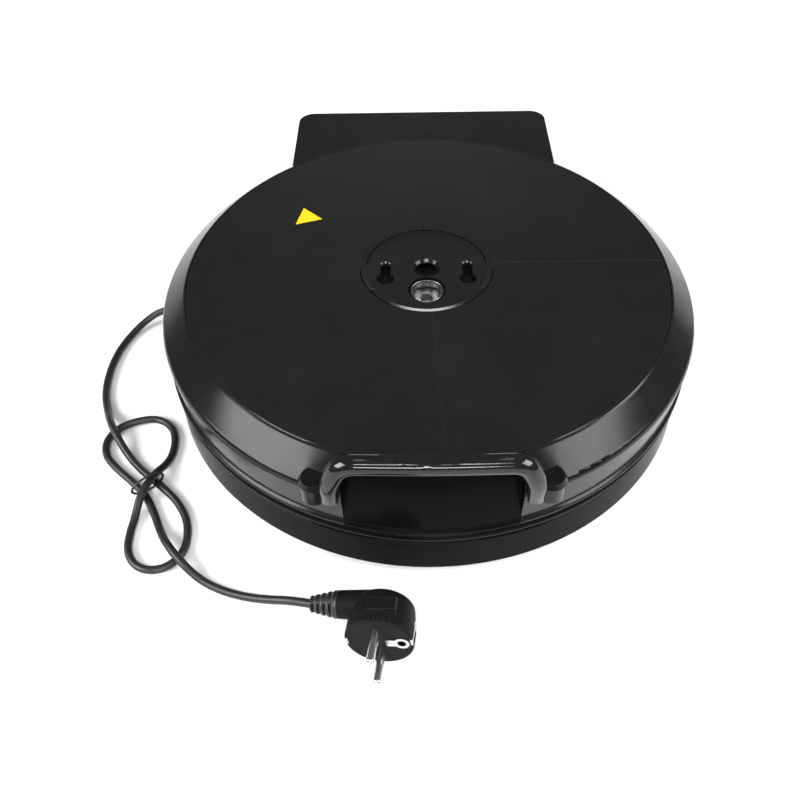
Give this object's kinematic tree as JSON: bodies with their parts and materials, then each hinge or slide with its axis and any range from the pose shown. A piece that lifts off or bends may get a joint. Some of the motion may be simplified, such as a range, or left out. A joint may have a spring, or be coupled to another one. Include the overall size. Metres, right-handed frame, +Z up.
{
  "type": "waffle cone maker",
  "caption": "Round countertop waffle cone maker: heated base and hinged lid with patterned plates, a bail handle at the front and a cord with an angled plug.",
  "frame": {"origin": "on the table, at the middle of the footprint of the machine without its cord", "axes": "+X to the user's right, +Y to the hinge at the back, +Z up; the handle faces -Y"},
  "size_m": [0.4079, 0.4515, 0.1028],
  "materials": {
    "black_gloss": "gloss",
    "black_satin": "satin",
    "black_matte": "matte",
    "white_ceramic": "matte",
    "plate_metal": "non-stick coated",
    "steel": "zinc plated",
    "chrome": "polished",
    "heater_steel": "heat-darkened",
    "brass": "nickel or brass",
    "black_rubber": "matte",
    "yellow_label": "printed film",
    "lead_brown": "satin",
    "lead_blue": "satin",
    "lead_green": "satin",
    "bright_aluminium": "mill finish",
    "tie_wire": "satin"
  },
  "bodies": {
    "base": {"base_shell": "black_gloss", "base_rim": "black_gloss", "bottom_cover": "black_matte", "cord_clamp": "black_matte", "plug_body": "black_matte", "terminal_block": "white_ceramic", "lower_thermostat": "white_ceramic", "thermal_fuse": "white_ceramic", "lower_plate": "plate_metal", "lower_reflector": "bright_aluminium", "plate_posts": "steel", "bottom_screws": "steel", "hinge_bracket": "steel", "hinge_pin": "steel", "hinge_spacers": "steel", "pin_clips": "steel", "bracket_screws": "steel", "lower_element_terminals": "steel", "plug_pins": "chrome", "plug_earth_contacts": "chrome", "lower_element": "heater_steel", "earth_stud": "brass", "foot_front_left": "black_rubber", "foot_front_right": "black_rubber", "foot_back_left": "black_rubber", "foot_back_right": "black_rubber", "cord_gland": "black_rubber", "cord_tail": "black_rubber", "power_cord": "black_rubber", "plug_boot": "black_rubber", "twist_tie": "tie_wire", "lead_live": "lead_brown", "lead_neutral": "lead_blue", "lead_earth": "lead_green"},
    "lid": {"lid_ring": "black_gloss", "lid_panel": "black_satin", "front_panel": "black_gloss", "hinge_cover": "black_matte", "lid_arm_left": "steel", "lid_arm_right": "steel", "arm_screws": "steel", "upper_reflector": "bright_aluminium", "stud_cup": "chrome", "triangle_sticker": "yellow_label", "handle": "black_gloss"},
    "floating_plate": {"upper_plate": "plate_metal", "upper_element": "heater_steel", "upper_element_terminals": "steel", "upper_thermostat": "white_ceramic", "plate_stud": "steel", "stud_washer": "steel"}
  },
  "joints": [
    {"name": "lid_hinge", "type": "hinge", "parent": "base", "child": "lid", "pos_m": [0, 0.17385, 0.046], "axis": [-1, 0, 0], "range_deg": [0, 105]},
    {"name": "plate_float", "type": "slide", "parent": "lid", "child": "floating_plate", "axis": [0, 0, 1], "range_m": [0, 0.003]}
  ]
}
